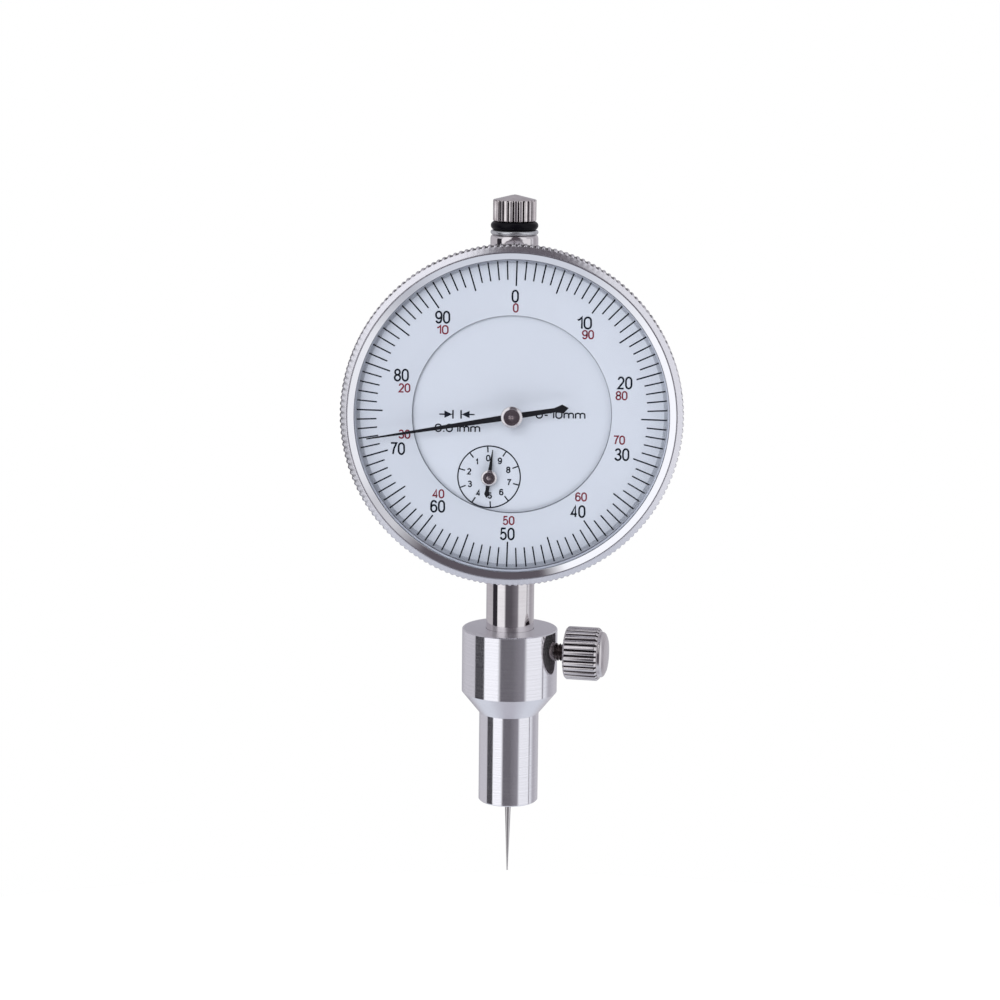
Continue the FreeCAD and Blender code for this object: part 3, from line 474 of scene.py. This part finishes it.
# The strokes of each character in a box one unit wide and high: (points, whether it is a loop).
STROKES = {
    "0": [(arc(0.5, 0.66, 0.5, 0.34, -90, 90)[:-1] + arc(0.5, 0.34, 0.5, 0.34, 90, 270), True)],
    "1": [([(0.0, 0.74), (0.55, 0.82), (1.0, 1.0), (1.0, 0.0)], False)],
    "2": [(arc(0.5, 0.72, 0.46, 0.28, -80, 120) + [(0.45, 0.28), (0.0, 0.0), (1.0, 0.0)], False)],
    "3": [(arc(0.48, 0.76, 0.42, 0.24, -75, 170) + arc(0.5, 0.26, 0.5, 0.26, 10, 260), False)],
    "4": [([(1.0, 0.26), (0.0, 0.26), (0.72, 1.0), (0.72, 0.0)], False)],
    "5": [([(0.92, 1.0), (0.2, 1.0), (0.08, 0.5)] + arc(0.48, 0.32, 0.5, 0.32, -40, 250), False)],
    "6": [(arc(0.52, 0.68, 0.48, 0.32, 65, -80, 8) + arc(0.5, 0.31, 0.5, 0.31, -90, -440, 16),
           False)],
    "7": [([(0.0, 1.0), (1.0, 1.0), (0.55, 0.5), (0.36, 0.0)], False)],
    "8": [
        (arc(0.5, 0.76, 0.43, 0.24, 0, 350, 14), True),
        (arc(0.5, 0.26, 0.5, 0.26, 0, 350, 14), True),
    ],
    "9": [(arc(0.48, 0.32, 0.48, 0.32, 245, 100, 8) + arc(0.5, 0.69, 0.5, 0.31, 90, -260, 16),
           False)],
    "-": [([(0.0, 0.40), (1.0, 0.40)], False)],
    ".": [([(0.5, -0.04), (0.5, 0.12)], False)],
    "m": [
        ([(0.0, 0.0), (0.0, 0.72)], False),
        (arc(0.25, 0.48, 0.25, 0.24, -90, 90) + [(0.5, 0.0)], False),
        (arc(0.75, 0.48, 0.25, 0.24, -90, 90) + [(1.0, 0.0)], False),
    ],
}
GLYPH_WIDTHS = {"1": 0.62, "-": 0.55, ".": 0.20, "m": 1.55}
GLYPH_GAP = 0.38
MITRE_LIMIT = 0.5


def stroke(bm, points, loop, width, front, back):
    """Adds a printed line of constant width along (x, z) points."""
    count = len(points)
    sides = []
    for number, point in enumerate(points):
        here = Vector(point)
        before = Vector(points[number - 1]) if number or loop else None
        after = Vector(points[(number + 1) % count]) if number < count - 1 or loop else None
        coming = (here - before).normalized() if before else (after - here).normalized()
        going = (after - here).normalized() if after else coming
        middle = (coming + going).normalized()
        reach = width / 2 / max(middle.dot(coming), MITRE_LIMIT)
        across = Vector((middle.y, -middle.x)) * reach
        sides.append((here - across, here + across))
    rows = [[bm.verts.new((side.x, y, side.y)) for y in (front, back) for side in pair]
            for pair in sides]
    for number in range(count if loop else count - 1):
        a, b = rows[number], rows[(number + 1) % count]
        for first, second in ((0, 1), (1, 3), (3, 2), (2, 0)):
            bm.faces.new((a[first], a[second], b[second], b[first]))
    if not loop:
        for end, order in ((rows[0], (0, 2, 3, 1)), (rows[-1], (0, 1, 3, 2))):
            bm.faces.new([end[corner] for corner in order])


def lettering(bm, text, x, z, height, width, weight, front, back):
    """Adds upright characters centred on (x, z); weight is the printed line's width."""
    sizes = [GLYPH_WIDTHS.get(letter, 1.0) for letter in text]
    unit = (width - weight) / (sum(sizes) + GLYPH_GAP * (len(text) - 1))
    left = x - (width - weight) / 2
    low, tall = z - (height - weight) / 2, height - weight
    for letter, share in zip(text, sizes):
        for points, loop in STROKES[letter]:
            spots = [(left + px * share * unit, low + pz * tall) for px, pz in points]
            stroke(bm, spots, loop, weight, front, back)
        left += (share + GLYPH_GAP) * unit


# ---- bezel ----

BEZEL_TEETH = 180

bezel_outline = profile([
    (25.47, -12.50, 0, 0),          # polished band, sloping in to the window
    (25.54, -12.533, 0, 0),
    (26.43, -12.957, 0, 0),
    (26.50, -12.99, 0, 0),
    (26.54, -12.84, 0, 1),          # fine groove
    (26.60, -12.84, 0, 1),
    (26.68, -12.98, 0, 1),          # satin band, sloping out to the rim
    (26.75, -12.942, 0, 1),
    (27.49, -12.538, 0, 1),
    (27.56, -12.50, 0.02, 2),       # knurled rim
    (27.75, -12.36, 0.27, 2),
    (27.75, -8.90, 0.27, 2),
    (27.52, -8.70, 0.04, 2),
    (27.22, -8.60, 0, 1),           # skirt round the case
    (27.20, -6.80, 0, 1),
    (26.90, -6.50, 0, 1),
    (26.05, -6.50, 0, 1),
    (26.05, -7.35, 0, 1),
    (26.05, -8.90, 0, 1),
    (24.60, -8.90, 0, 1),           # ledge that carries the outer dial
    (24.60, -9.30, 0, 1),
    (25.47, -9.30, 0, 1),
])
# The knurl's groove floors take the painted groove shade.
bezel_mesh = spun(eased(bezel_outline, 0.05, closed=True, steps=3), DIAL_AXLE, BEZEL_TEETH * 8,
                  closed=True, wave=knurl(BEZEL_TEETH, 0.36, 0.3), groove=3)
finish_piece("bezel_turned", bezel_mesh, "bezel_body",
             [BEZEL_POLISH, BEZEL_SATIN, BEZEL_KNURL, GROOVE_PAINTED_SHADE],
             replaces=["bezel"])

# ---- window ----

DOME_FRONT = -14.9
DOME_R = 140.0
WINDOW_THICK = 0.9
DOME_RINGS = 12


def dome(reach, sphere_r):
    """Outline points from the dial's axis out to a radius, on a sphere about the dome's centre."""
    radii = [reach * number / DOME_RINGS for number in range(DOME_RINGS + 1)]
    return [(r, DOME_FRONT + DOME_R - math.sqrt(sphere_r ** 2 - r ** 2), 0, 0) for r in radii]


# The rim's faces take the window edge's painted reflection.
window_rim = [
    (25.39, -12.54, 0, 1),
    (25.42, -12.2, 0, 1),
    (25.42, -11.62, 0, 1),
    (25.20, -11.62, 0, 1),
]
window_back = dome(25.18, DOME_R - WINDOW_THICK)[::-1]
window_mesh = spun(dome(25.39, DOME_R) + window_rim + window_back, DIAL_AXLE, 192)
finish_piece("crystal_dome", window_mesh, "bezel_body", [WINDOW, WINDOW_EDGE_REFLECTION],
             replaces=["crystal"])

seat_outline = profile([(25.44, -11.58), (25.44, -9.90), (24.62, -9.90), (25.20, -11.58)])
seat_mesh = spun(eased(seat_outline, 0.06, closed=True), DIAL_AXLE, 256, closed=True)
finish_piece("crystal_seat_ring", seat_mesh, "bezel_body", [SEAT_CLEAR],
             replaces=["dial_spacer_ring"])

# ---- outer dial and its printing ----

RING_INK = (-9.866, -9.852)         # the front and back of the print on the outer dial
RING_TURN = math.radians(1.3)
SHORT_TICK = (21.95, 25.16, 0.23)   # inner radius, outer radius and width
LONG_TICK = (20.95, 25.16, 0.24)
FIGURE_RADIUS = 19.0
BLACK_HEIGHT, BLACK_WIDTH, BLACK_ZERO_WIDTH, BLACK_WEIGHT = 2.12, 2.46, 1.20, 0.295
RED_HEIGHT, RED_WIDTH, RED_ZERO_WIDTH, RED_WEIGHT = 1.54, 1.96, 0.94, 0.24
RED_DROP = 2.08                     # how far a red figure is from its black one, toward the middle
RED_ASIDE, ASIDE_BEYOND = 0.5, 15   # red figures farther out than this also move sideways

dial_outline = profile([
    (16.10, -9.77, 0, 1),           # cut inner edge, in painted shade for the step's shadow
    (16.20, -9.85),
    (25.40, -9.85),
    (25.40, -9.30),
    (16.10, -9.30, 0, 1),
])
dial_mesh = spun(dial_outline, DIAL_AXLE, 256, closed=True)
finish_piece("outer_dial_face", dial_mesh, "bezel_body", [DIAL_WHITE, DIAL_EDGE_SHADE],
             replaces=["outer_dial_ring"])

ticks = bmesh.new()
for number in range(100):
    size = SHORT_TICK if number % 5 else LONG_TICK
    bar(ticks, DIAL_CENTRE, RING_TURN + 2 * math.pi * number / 100, *size, *RING_INK)
finish_print("scale_ticks", ticks, "bezel_body", INK_BLACK)

# How far a printed figure sits off its circle, in mm to the right and up.
BLACK_SHIFT = {
    0: (-0.1, 0.3),
    40: (0.15, -0.15),
    50: (-0.1, -0.65),
    60: (-0.4, -0.1),
    70: (-0.3, -0.3),
    90: (-0.5, 0.15),
}
RED_SHIFT = {
    0: (0.0, 0.5),
    10: (-0.5, 0.2),
    30: (0.3, 0.0),
    40: (-0.3, -0.1),
    50: (0.1, -0.5),
    60: (0.6, 0.2),
    70: (0.0, 0.3),
    90: (0.6, 0.2),
}

black_figures, red_figures = bmesh.new(), bmesh.new()
for number in range(10):
    angle = RING_TURN + 2 * math.pi * number / 10
    dx, dz = FIGURE_RADIUS * math.sin(angle), FIGURE_RADIUS * math.cos(angle)

    label = number * 10
    aside, up = BLACK_SHIFT.get(label, (0, 0))
    lettering(black_figures, str(label), dx + aside, DIAL_CENTRE.z + dz + up, BLACK_HEIGHT,
              BLACK_WIDTH if number else BLACK_ZERO_WIDTH, BLACK_WEIGHT, *RING_INK)

    label = (10 - number) % 10 * 10
    aside, up = RED_SHIFT.get(label, (0, 0))
    nearer = RED_ASIDE if abs(dx) > ASIDE_BEYOND else 0.0
    red_x = dx - math.copysign(nearer, dx) + aside
    red_z = DIAL_CENTRE.z + dz - math.copysign(RED_DROP, dz) + up
    lettering(red_figures, str(label), red_x, red_z, RED_HEIGHT,
              RED_WIDTH if number else RED_ZERO_WIDTH, RED_WEIGHT, *RING_INK)
finish_print("scale_numbers", black_figures, "bezel_body", INK_BLACK)
finish_print("reverse_numbers", red_figures, "bezel_body", INK_RED)

# ---- turn counter and unit marks ----

DISC_INK = (-9.266, -9.252)         # the front and back of the print on the inner dial
DISC_TURN = math.radians(-3.0)
COUNTER_WEIGHT = 0.215              # the width of the counter's ticks and figures

counter_ring = profile([
    (4.98, DISC_INK[0]),
    (5.195, DISC_INK[0]),
    (5.195, DISC_INK[1]),
    (4.98, DISC_INK[1]),
])
counter = spun(counter_ring, COUNTER_AXLE, 96, closed=True)
for number in range(10):
    angle = DISC_TURN + 2 * math.pi * number / 10
    bar(counter, COUNTER_CENTRE, angle, 4.05, 5.08, COUNTER_WEIGHT, *DISC_INK)
finish_print("counter_scale", counter, "case_body", INK_BLACK)

counter_figures = bmesh.new()
for number in range(10):
    angle = DISC_TURN - 2 * math.pi * number / 10
    reach = 3.10 + 0.28 * math.sin(angle) ** 2
    lettering(counter_figures, str(number), COUNTER_CENTRE.x + reach * math.sin(angle),
              COUNTER_CENTRE.z + reach * math.cos(angle), 1.10, 0.46 if number == 1 else 0.74,
              COUNTER_WEIGHT, *DISC_INK)
finish_print("counter_numbers", counter_figures, "case_body", INK_BLACK)

UNIT_HEIGHT, UNIT_WEIGHT = 1.42, 0.235
ARROWS_X, ARROWS_Z = -8.9, 67.30    # midway between the two arrows

unit_marks = bmesh.new()
lettering(unit_marks, "0.01mm", -8.8, 65.05, UNIT_HEIGHT, 7.4, UNIT_WEIGHT, *DISC_INK)
lettering(unit_marks, "0-10mm", 7.9, 67.45, UNIT_HEIGHT, 8.1, UNIT_WEIGHT, *DISC_INK)
for side in (-1, 1):
    stop = ARROWS_X + side * 0.66
    stroke(unit_marks, [(stop, 66.60), (stop, 68.00)], False, 0.25, *DISC_INK)
    tip = stop + side * 0.10
    head = tip + side * 1.28
    flat_shape(unit_marks, [(tip, ARROWS_Z), (head, 67.90), (head, 66.70)], *DISC_INK)
    shaft = [(tip + side * 1.1, ARROWS_Z), (tip + side * 2.1, ARROWS_Z)]
    stroke(unit_marks, shaft, False, 0.22, *DISC_INK)
finish_print("unit_marks", unit_marks, "case_body", INK_BLACK)

# ---- pointer hubs ----

def hub(name, axle, top, radius, dish, foot, body, node):
    """A turned hub: a bright chamfer round a dished end with a centre mark; the dished end is in
    painted shade. radius is the hub's, dish the dished end's, and top and foot are where it starts
    and ends."""
    outline = profile([
        (0, top + 0.16, 0, 1),
        (radius * 0.07, top + 0.14, 0, 1),
        (radius * 0.16, top + 0.03, 0, 1),
        (radius * 0.30, top + 0.09, 0, 1),
        (dish * 0.96, top + 0.07, 0, 1),
        (dish, top, 0, 0),
        (radius - 0.04, top + (radius - dish) * 0.47, 0, 0),
        (radius, top + (radius - dish) * 0.60, 0, 0),
        (radius, foot, 0, 0),
        (radius * 0.5, foot, 0, 0),
        (radius * 0.5, foot + 0.2, 0, 0),
        (0, foot + 0.2, 0, 0),
    ])
    finish_piece(name, spun(eased(outline, 0.03), axle, 96), body, [HUB_BRIGHT, HUB_DISH_SHADE],
                 crease=12, replaces=[node])


hub("pointer_hub_turned", DIAL_AXLE, -12.75, 1.75, 1.33, -11.86, "centre_arbor_body",
    "main_pointer_hub")
hub("counter_hub_turned", COUNTER_AXLE, -10.65, 1.3, 1.00, -10.11, "rack_arbor_body",
    "small_pointer_hub")

# ---- stem, neck and washer ----

stem_outline = profile([(2.9, 22.5), (3.75, 22.5), (4.0, 22.8), (4.0, 44.2), (2.9, 44.2)])
neck_outline = profile([
    (2.6, 90.8),
    (3.925, 90.8),
    (3.925, 95.25),
    (3.80, 95.62),
    (3.55, 95.79),
    (2.6, 95.79),
])
washer_outline = profile([
    (2.6, 95.81),
    (3.70, 95.81),
    (3.92, 96.00),
    (3.92, 96.34),
    (3.70, 96.54),
    (2.6, 96.54),
])
for name, outline, ease, finish, node in (
    ("stem_ground", stem_outline, 0.1, NICKEL, "stem"),
    ("neck_turned", neck_outline, 0.2, NICKEL, "neck_bush"),
    ("washer_turned", washer_outline, 0.2, ZINC, "neck_washer"),
):
    tube = spun(eased(outline, ease, closed=True), STEM_AXLE, 160, closed=True)
    finish_piece(name, tube, "case_body", [finish], replaces=[node])

# ---- lifting cap ----

CAP_RIBS = 25

cap_outline = profile([
    (0, 102.3),
    (0.5, 102.22),
    (3.40, 101.50),
    (3.55, 101.40, 0.12),
    (3.55, 101.15, 0.32),
    (3.55, 98.12, 0.27),
    (3.42, 98.0, 0.12),
    (2.45, 98.0),
    (2.45, 100.3),
    (0, 100.3),
])
# The ribs' groove floors take the painted groove shade.
cap_mesh = spun(eased(cap_outline, 0.06), STEM_AXLE, CAP_RIBS * 18,
                wave=knurl(CAP_RIBS, 0.5, 0.25), groove=1)
finish_piece("lifting_cap_ribbed", cap_mesh, "plunger_body", [CAP_NICKEL, GROOVE_PAINTED_SHADE],
             replaces=["lifting_cap"])

# ---- thumb screw ----

THUMB_RIBS = 28

head_outline = profile([
    # The back face, toward the collar, takes the painted groove shade for the shadow it sits in.
    (1.53, 9.7, 0, 1),
    (4.15, 9.7),
    (4.45, 10.0, 0.30),
    (4.45, 15.05, 0.30),
    (4.15, 15.4, 0.05),
    (3.8, 15.42),
    (3.8, 15.85),
    (3.6, 16.15),
    (2.9, 16.48),
    (1.5, 16.62),
    (0, 16.65),
    (0, 14.05),
    (1.53, 14.05),
])
# Its ribs' groove floors take the painted groove shade too.
head_mesh = spun(eased(head_outline, 0.1), SCREW_AXLE, THUMB_RIBS * 12, closed=True,
                 wave=knurl(THUMB_RIBS, 0.45, 0.1), groove=1)
finish_piece("thumb_screw_ribbed", head_mesh, "thumb_head_body", [THUMB_NICKEL, GROOVE_PAINTED_SHADE],
             replaces=["thumb_screw_head"])

stud_mesh = threaded(SCREW_AXLE, start=4.05, end=14.0, radius=1.5, depth=0.28, pitch=0.5)
finish_piece("thumb_screw_thread", stud_mesh, "thumb_stud_body", [STUD_STEEL], crease=60,
             replaces=["thumb_screw_stud"])

# ---- finishes for the parts taken straight from the frame ----

FINISH = {
    "case_metal": CASE_METAL,
    "bezel_metal": BEZEL_SATIN,
    "clear_window": WINDOW,
    "dial_paint": DIAL_WHITE,
    "plated_steel": NICKEL,
    "steel": STEEL,
    "turned_aluminium": ALUMINIUM,
    "bronze": BRONZE,
    "brass": BRASS,
    "black_rubber": RUBBER,
    "black_paint": POINTER_BLACK,
}
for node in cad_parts.values():
    for place in node.material_slots:
        slot_name = place.material.name.split(".")[0] if place.material else None
        place.material = FINISH.get(slot_name, STEEL)

# The frame's faces come apart at their edges and in small triangles, so they are joined first.
for name, width in (("back_cover", 0.5), ("back_cover_screws", 0.15)):
    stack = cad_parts[name].modifiers
    welded = stack.new("welded", "WELD")
    welded.merge_threshold = 0.001 * MM
    joined = stack.new("joined", "DECIMATE")
    joined.decimate_type = "DISSOLVE"
    joined.angle_limit = math.radians(0.5)
    edge = stack.new("edge", "BEVEL")
    edge.width = width * MM
    edge.segments = 2
    edge.limit_method = "ANGLE"
    edge.angle_limit = math.radians(30)
    evened = stack.new("evened", "WEIGHTED_NORMAL")
    evened.weight = 100

# ---- room ----

scene = bpy.context.scene
scene.view_settings.view_transform = "Standard"
scene.view_settings.look = "None"

world = bpy.data.worlds.new("studio")
scene.world = world
world.use_nodes = True
room = world.node_tree
room.nodes.clear()


def around(*stops):
    """Ramp stops from (bearing in degrees, colour, half the width in degrees of the edge before
    it); bearing 0 is the camera's side and 90 the right."""
    made = []
    for number, (start, colour, soft) in enumerate(stops):
        place = 0.5 + start / 360
        if number:
            made.append((place - soft / 360, stops[number - 1][1]))
        made.append((max(place + soft / 360, 0.0), colour))
    return made


# What the metal mirrors: colours by bearing near the horizon, others higher up, and one below.
WHITE_BOX = (1.04, 1.05, 1.09)
SOFT_BOX = (0.90, 0.91, 0.95)
CAMERA_SIDE = (0.112, 0.104, 0.122)
BELOW = (0.67, 0.70, 0.77)
STRAIGHT_DOWN = (0.48, 0.48, 0.54)
LOW_BAND = around(
    (-180, (0.42, 0.41, 0.45), 0),
    (-150, (0.57, 0.56, 0.60), 18),
    (-91, (0.032, 0.030, 0.038), 0.7),
    (-63, WHITE_BOX, 0.7),
    (-24, CAMERA_SIDE, 4),
    (20, (0.23, 0.22, 0.25), 14),
    (40, SOFT_BOX, 4),
    (87, (0.22, 0.21, 0.24), 0.4),
    (90.5, (0.78, 0.79, 0.84), 0.4),
    (104, (0.44, 0.43, 0.47), 6),
    (128, (0.54, 0.53, 0.57), 10),
    (172, (0.42, 0.41, 0.45), 6),
)
HIGH_BAND = around(
    (-180, (0.43, 0.42, 0.46), 0),
    (-95, (0.60, 0.60, 0.64), 3),
    (-62, WHITE_BOX, 3),
    (-16, (0.112, 0.098, 0.114), 4),
    (34, (0.92, 0.93, 0.97), 6),
    (66, (0.60, 0.60, 0.64), 4),
    (95, (0.52, 0.52, 0.56), 3),
    (160, (0.43, 0.42, 0.46), 10),
)
# The elevations in degrees between which one gives way to the next.
TO_HIGH_BAND = (14.0, 22.0)
TO_BELOW = (-30.0, -50.0)
TO_STRAIGHT_DOWN = (-64.0, -84.0)

direction = add(room, "ShaderNodeTexCoord").outputs["Generated"]
parts = add(room, "ShaderNodeSeparateXYZ", {0: direction}).outputs
toward = calc(room, "MULTIPLY", parts["Y"], -1.0)
bearing = calc(room, "ARCTAN2", parts["X"], toward)
bearing = calc(room, "MULTIPLY_ADD", bearing, 0.5 / math.pi, 0.5)
elevation = calc(room, "MULTIPLY", calc(room, "ARCSINE", parts["Z"]), 180 / math.pi)
seen = mix_colour(room, remap(room, elevation, *TO_HIGH_BAND),
                  ramp(room, bearing, LOW_BAND), ramp(room, bearing, HIGH_BAND))
seen = mix_colour(room, remap(room, elevation, *TO_BELOW), seen, BELOW)
seen = mix_colour(room, remap(room, elevation, *TO_STRAIGHT_DOWN), seen, STRAIGHT_DOWN)
mirrored = add(room, "ShaderNodeBackground", {"Color": seen, "Strength": 1.0}).outputs[0]
plain = add(room, "ShaderNodeBackground", {"Color": (1, 1, 1, 1), "Strength": 1.0}).outputs[0]
straight = add(room, "ShaderNodeLightPath").outputs["Is Camera Ray"]
both = add(room, "ShaderNodeMixShader", {0: straight, 1: mirrored, 2: plain}).outputs[0]
add(room, "ShaderNodeOutputWorld", {0: both})

# A large lamp that lights matt surfaces but isn't mirrored in the metal.
LAMP_SPOT = Vector((-0.13, -0.60, 0.28))
LAMP_TARGET = Vector((0, 0, 0.06))

lamp = bpy.data.lights.new("key_light", "AREA")
lamp.shape = "DISK"
lamp.size = 0.40
lamp.energy = 2.2
lamp_holder = bpy.data.objects.new("key_light", lamp)
scene.collection.objects.link(lamp_holder)
lamp_holder.location = LAMP_SPOT
lamp_holder.rotation_mode = "QUATERNION"
lamp_holder.rotation_quaternion = (LAMP_TARGET - LAMP_SPOT).to_track_quat("-Z", "Y")
lamp_holder.visible_glossy = False
lamp_holder.visible_camera = False

# A floor well below the part, which glows a little so that it stays as pale as the background.
FLOOR_RADIUS = 0.45
FLOOR_HEIGHT = -0.16

floor_bm = bmesh.new()
bmesh.ops.create_circle(floor_bm, cap_ends=True, segments=96, radius=FLOOR_RADIUS)
floor_mesh = bpy.data.meshes.new("floor")
floor_bm.to_mesh(floor_mesh)
floor_bm.free()
floor = bpy.data.objects.new("floor", floor_mesh)
floor.location = (0, 0, FLOOR_HEIGHT)
scene.collection.objects.link(floor)
pale, pale_tree, pale_output = new_material("pale_floor")
glow = add(pale_tree, "ShaderNodeEmission", {"Color": (1, 1, 1, 1), "Strength": 1.0}).outputs[0]
matt = add(pale_tree, "ShaderNodeBsdfDiffuse", {"Color": (0.8, 0.8, 0.8, 1)}).outputs[0]
sheen = add(pale_tree, "ShaderNodeAddShader", {0: glow, 1: matt}).outputs[0]
pale_tree.links.new(sheen, pale_output.inputs[0])
floor_mesh.materials.append(pale)
floor.visible_glossy = False

# ---- camera ----

CAMERA_SPOT = (4.043 * MM, -454.232 * MM, 134.866 * MM)
CAMERA_TURN = math.radians(-0.749)
CAMERA_TILT = math.radians(10.391)
CAMERA_ROLL = math.radians(0.624)

camera_data = bpy.data.cameras.new("camera")
camera_data.sensor_width = 36
camera_data.lens = 99.85
camera_data.clip_start = 0.01
camera_data.clip_end = 20
camera = bpy.data.objects.new("camera", camera_data)
scene.collection.objects.link(camera)
ahead = Vector((
    math.sin(CAMERA_TURN) * math.cos(CAMERA_TILT),
    math.cos(CAMERA_TURN) * math.cos(CAMERA_TILT),
    -math.sin(CAMERA_TILT),
))
level = ahead.cross(UP).normalized()
above = level.cross(ahead)
cam_x = level * math.cos(CAMERA_ROLL) + above * math.sin(CAMERA_ROLL)
cam_y = above * math.cos(CAMERA_ROLL) - level * math.sin(CAMERA_ROLL)
camera.matrix_world = Matrix((
    (cam_x.x, cam_y.x, -ahead.x, CAMERA_SPOT[0]),
    (cam_x.y, cam_y.y, -ahead.y, CAMERA_SPOT[1]),
    (cam_x.z, cam_y.z, -ahead.z, CAMERA_SPOT[2]),
    (0, 0, 0, 1),
))
scene.camera = camera
